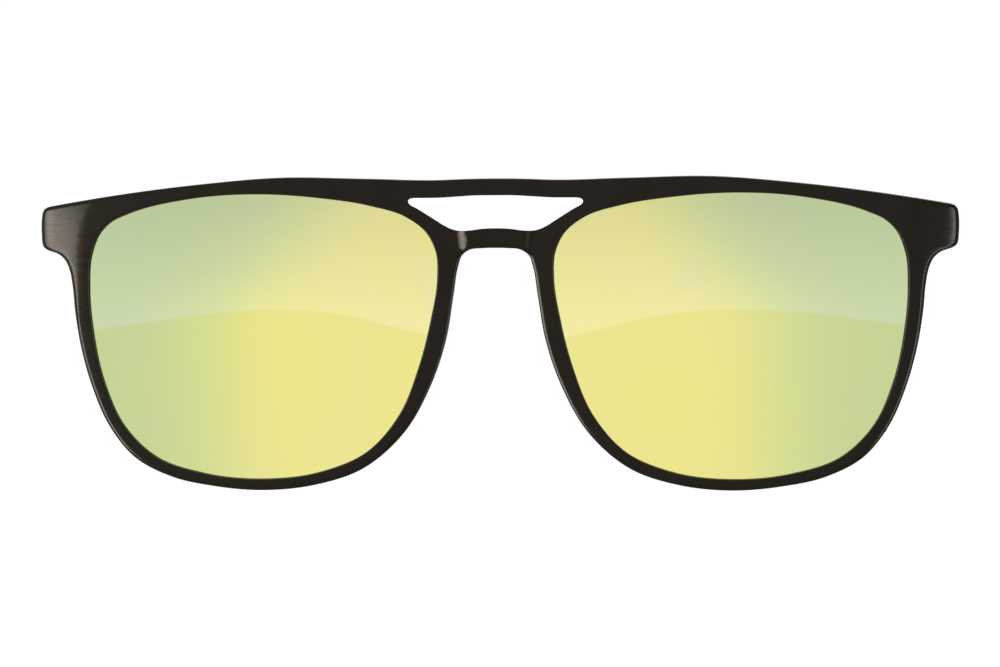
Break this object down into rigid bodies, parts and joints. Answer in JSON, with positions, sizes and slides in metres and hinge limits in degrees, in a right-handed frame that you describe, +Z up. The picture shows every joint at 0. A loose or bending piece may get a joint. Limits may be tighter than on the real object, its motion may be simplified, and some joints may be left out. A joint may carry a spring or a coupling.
{
  "type": "magnetic flip-up clip-on sun lenses",
  "caption": "Shape-matched clip-on front with mirrored sun lenses and a double bridge, on a low flip-up hinge and a magnetic bridge carrier.",
  "frame": {"origin": "middle of the carrier plate's upper strip, on its back face, which lies against the bridge of the spectacles", "axes": "+X to the right of somebody who faces the lenses, -Y out of the front of the lenses, +Z up"},
  "size_m": [0.1406, 0.008, 0.0479],
  "materials": {
    "frame": "satin black moulded polymer with a fine horizontal brushing",
    "lens": "polycarbonate with a yellow-green mirror coating",
    "hinge": "turned and brushed stainless steel",
    "carrier": "stainless sheet with a black coating",
    "magnet": "nickel-plated neodymium",
    "silicone": "soft grey silicone",
    "washer": "phosphor bronze spring washer"
  },
  "bodies": {
    "carrier": {"carrier_plate": "carrier", "rear_leaf": "hinge", "leaf_rivet_left": "hinge", "leaf_rivet_right": "hinge", "hinge_pin": "hinge", "pin_nut": "hinge", "friction_washer_left": "washer", "friction_washer_right": "washer", "carrier_magnet_upper_left": "magnet", "carrier_magnet_upper_right": "magnet", "carrier_magnet_lower_left": "magnet", "carrier_magnet_lower_right": "magnet"},
    "front": {"front_frame": "frame", "lens_left": "lens", "lens_right": "lens", "front_leaf": "hinge", "leaf_screw_left": "hinge", "leaf_screw_right": "hinge", "lug_magnet_left": "magnet", "lug_magnet_right": "magnet", "bumper_left": "silicone", "bumper_right": "silicone"}
  },
  "joints": [
    {"name": "flip", "type": "hinge", "parent": "carrier", "child": "front", "pos_m": [0, -0.00191, 0], "axis": [-1, 0, 0], "range_deg": [0, 90]}
  ]
}
